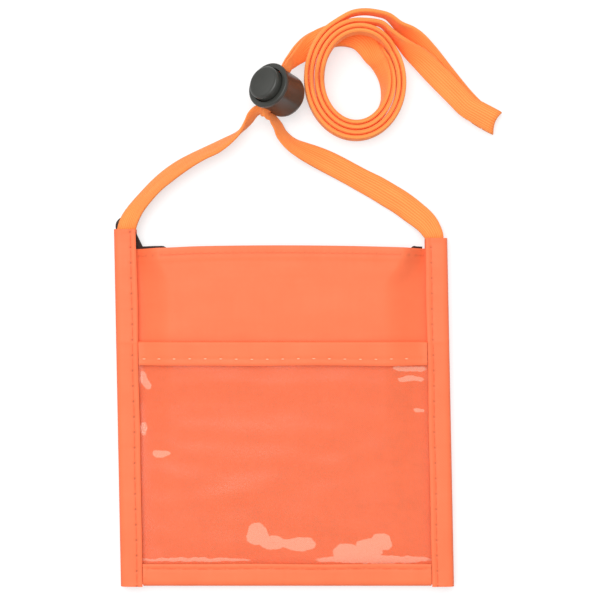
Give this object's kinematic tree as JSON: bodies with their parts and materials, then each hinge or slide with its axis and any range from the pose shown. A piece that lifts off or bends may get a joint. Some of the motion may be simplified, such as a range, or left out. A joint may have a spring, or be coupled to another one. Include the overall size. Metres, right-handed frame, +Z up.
{
  "type": "neck wallet",
  "caption": "Flat cloth neck pouch with clear window pocket, bound sides, zipped mouth, flat neck cord and sprung cord lock.",
  "frame": {"origin": "middle of the wallet's box, cord left out, on the surface it lies on", "axes": "+X to the wallet's right seen from its window side, +Y towards the mouth and the cord, +Z up through the window"},
  "size_m": [0.1478, 0.218, 0.0215],
  "materials": {
    "cloth": "coated plain weave, matt",
    "binding": "folded tape, matt",
    "window_vinyl": "clear soft film, glossy",
    "zip_tape": "black herringbone tape",
    "zip_teeth": "black nylon coil",
    "zip_metal": "black lacquer",
    "lock_plastic": "moulded, satin",
    "spring_steel": "drawn wire",
    "cord": "flat tubular braid"
  },
  "bodies": {
    "wallet": {"back_panel": "cloth", "front_panel": "cloth", "window_sheet": "window_vinyl", "window_top_binding": "binding", "bottom_binding": "binding", "left_side_binding": "binding", "right_side_binding": "binding", "zip_tape_front": "zip_tape", "zip_tape_back": "zip_tape", "zip_tape_tail": "zip_tape", "zip_teeth_front": "zip_teeth", "zip_teeth_back": "zip_teeth", "zip_top_stop_front": "zip_metal", "zip_top_stop_back": "zip_metal", "zip_bottom_stop": "zip_metal", "lock_barrel": "lock_plastic", "lock_spring": "spring_steel", "cord_left_strand": "cord", "cord_right_strand": "cord", "cord_left_coil": "cord", "cord_right_coil": "cord", "cord_fold": "cord"},
    "slider": {"zip_slider": "zip_metal"},
    "pull": {"zip_pull_tab": "zip_metal"},
    "plunger": {"lock_plunger": "lock_plastic"}
  },
  "joints": [
    {"name": "zip_slide", "type": "slide", "parent": "wallet", "child": "slider", "axis": [1, 0, 0], "range_m": [0, 0.0765], "deforming": ["zip_teeth_front", "zip_teeth_back"]},
    {"name": "pull_swing", "type": "hinge", "parent": "slider", "child": "pull", "pos_m": [-0.04141, 0.05695, 0.0061], "axis": [0, 0, 1], "range_deg": [0, 140]},
    {"name": "plunger_press", "type": "slide", "parent": "wallet", "child": "plunger", "axis": [0.5704, -0.266, -0.7771], "range_m": [0, 0.002], "stiffness_N_per_m": 600, "springref_m": -0.002, "deforming": ["lock_spring"]}
  ]
}
